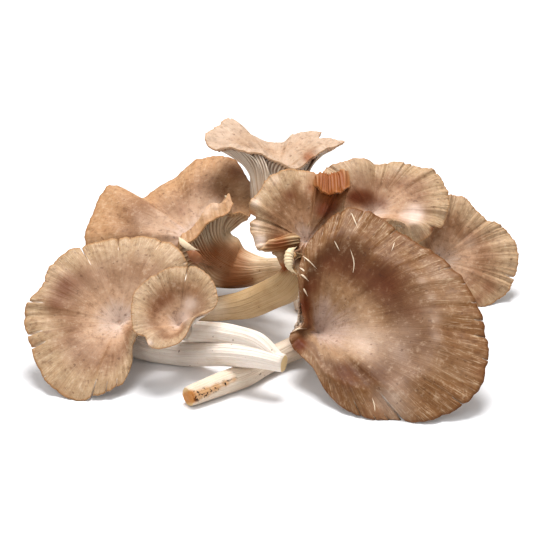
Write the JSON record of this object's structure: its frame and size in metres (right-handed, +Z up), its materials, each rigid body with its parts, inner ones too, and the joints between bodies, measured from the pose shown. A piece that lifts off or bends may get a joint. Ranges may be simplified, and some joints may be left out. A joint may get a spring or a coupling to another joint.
{
  "type": "oyster mushroom cluster",
  "caption": "Heap of loose oyster mushrooms with wavy tan funnel caps, pale gills underneath and white stems.",
  "frame": {"origin": "on the floor, below the middle of the heap's bounding box", "axes": "+Z up, +X to the viewer's right along the heap, +Y away from the viewer"},
  "size_m": [0.2534, 0.1747, 0.0908],
  "materials": {
    "flesh_tan": "satin, tan cap skin, cream gills and stem",
    "flesh_brown": "satin, brown cap skin, cream gills and stem",
    "flesh_pale": "satin, pale cap skin and gills"
  },
  "bodies": {
    "root": {"twin_left": "flesh_tan", "front_right": "flesh_brown", "centre_ruffled": "flesh_tan", "top_trumpet": "flesh_pale", "back_left": "flesh_tan", "right_back": "flesh_tan", "far_right": "flesh_tan"}
  },
  "joints": []
}
